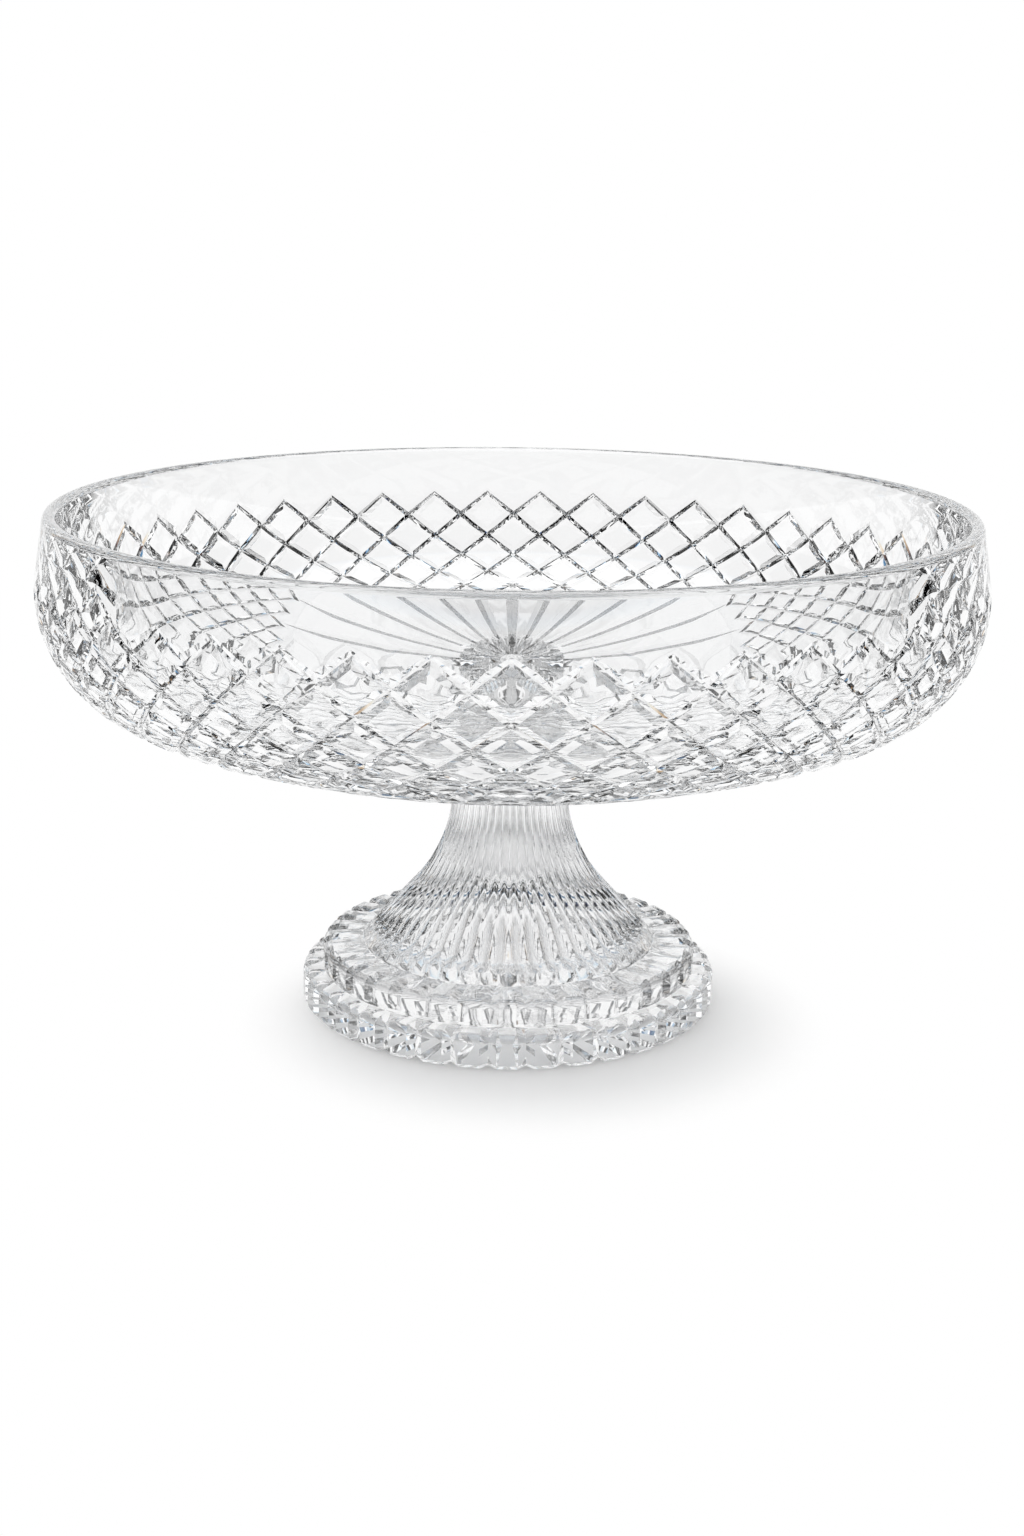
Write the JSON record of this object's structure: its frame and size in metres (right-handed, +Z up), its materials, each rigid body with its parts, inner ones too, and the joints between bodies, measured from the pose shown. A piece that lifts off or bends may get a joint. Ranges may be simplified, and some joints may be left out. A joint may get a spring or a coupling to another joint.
{
  "type": "footed fruit bowl",
  "caption": "Wide clear crystal bowl with a diamond-cut belly under a plain rim, on a fluted flaring stem and two stacked block-cut foot plates, for holding fruit.",
  "frame": {"origin": "centre of the flat underside of the lower foot plate, on the surface that the bowl stands on", "axes": "+Z up along the bowl's axis, -Y towards the viewer of the picture, +X to that viewer's right"},
  "size_m": [0.3, 0.2998, 0.1643],
  "materials": {
    "crystal": "clear crystal, cut and polished",
    "cement": "clear hardened cement"
  },
  "bodies": {
    "root": {"lower_foot_plate": "crystal", "foot_cement": "cement", "upper_foot_plate": "crystal", "stem_cement": "cement", "fluted_stem": "crystal", "bowl_cement": "cement", "bowl": "crystal"}
  },
  "joints": []
}
